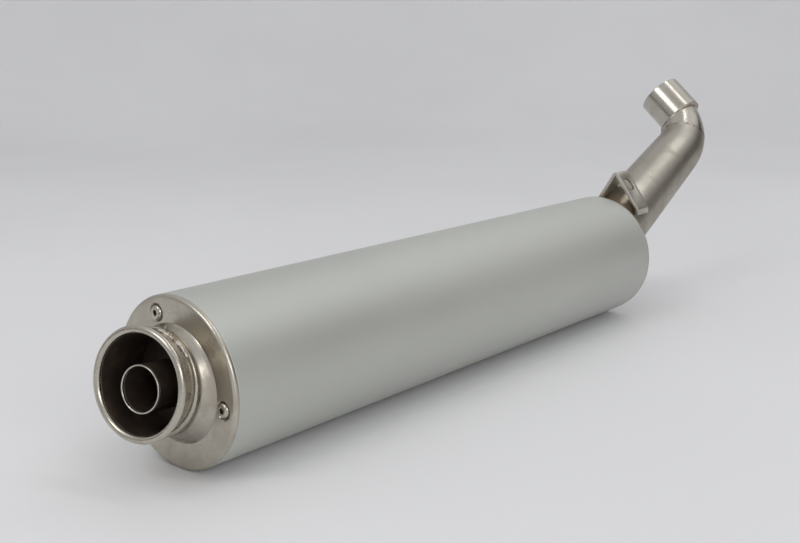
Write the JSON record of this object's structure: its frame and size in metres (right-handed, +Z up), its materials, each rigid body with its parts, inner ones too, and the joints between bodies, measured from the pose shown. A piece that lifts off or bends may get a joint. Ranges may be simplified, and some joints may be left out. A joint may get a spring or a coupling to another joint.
{
  "type": "motorcycle exhaust muffler",
  "caption": "Round absorption silencer canister with a screwed rear cap, tilted outlet tube and inner tail pipe, and a bent link pipe with a slip collar and hanger strap.",
  "frame": {"origin": "on the canister's axis, at the rear edge of the outer sleeve", "axes": "+Y along the canister from tail to inlet, +Z up, +X to the side that the hanger's bolt hole faces"},
  "size_m": [0.104, 0.6835, 0.2046],
  "materials": {
    "blasted_aluminium": "bead-blasted, satin, clear anodised",
    "cap_steel": "pressed stainless, fine turned grain, satin",
    "boss_steel": "spun stainless, partly polished",
    "outlet_steel": "bright rolled lip, soot inside",
    "insert_steel": "heat-darkened stainless with bright cut edge",
    "inner_steel": "plain mill finish",
    "weld_steel": "TIG weld, straw tint",
    "screw_steel": "plated button head, dark socket",
    "link_steel": "satin tube, long brushed grain, warm tint",
    "elbow_steel": "hand-polished stainless",
    "collar_steel": "polished stainless",
    "bracket_steel": "sheet stainless, satin",
    "glass_wool": "matt fibre mat"
  },
  "bodies": {
    "root": {"sleeve": "blasted_aluminium", "rear_cap": "cap_steel", "front_cap": "cap_steel", "rear_screws": "screw_steel", "front_screws": "screw_steel", "rear_end_plate": "inner_steel", "front_end_plate": "inner_steel", "core_tube": "inner_steel", "glass_wool": "glass_wool", "outlet_boss": "boss_steel", "outlet_tube": "outlet_steel", "outlet_weld": "weld_steel", "insert_pipe": "insert_steel", "insert_plate": "insert_steel", "link_pipe": "link_steel", "neck_weld": "weld_steel", "link_elbow": "elbow_steel", "elbow_weld": "weld_steel", "inlet_collar": "collar_steel", "collar_weld": "weld_steel", "hanger_bracket": "bracket_steel", "bracket_welds": "weld_steel"}
  },
  "joints": []
}
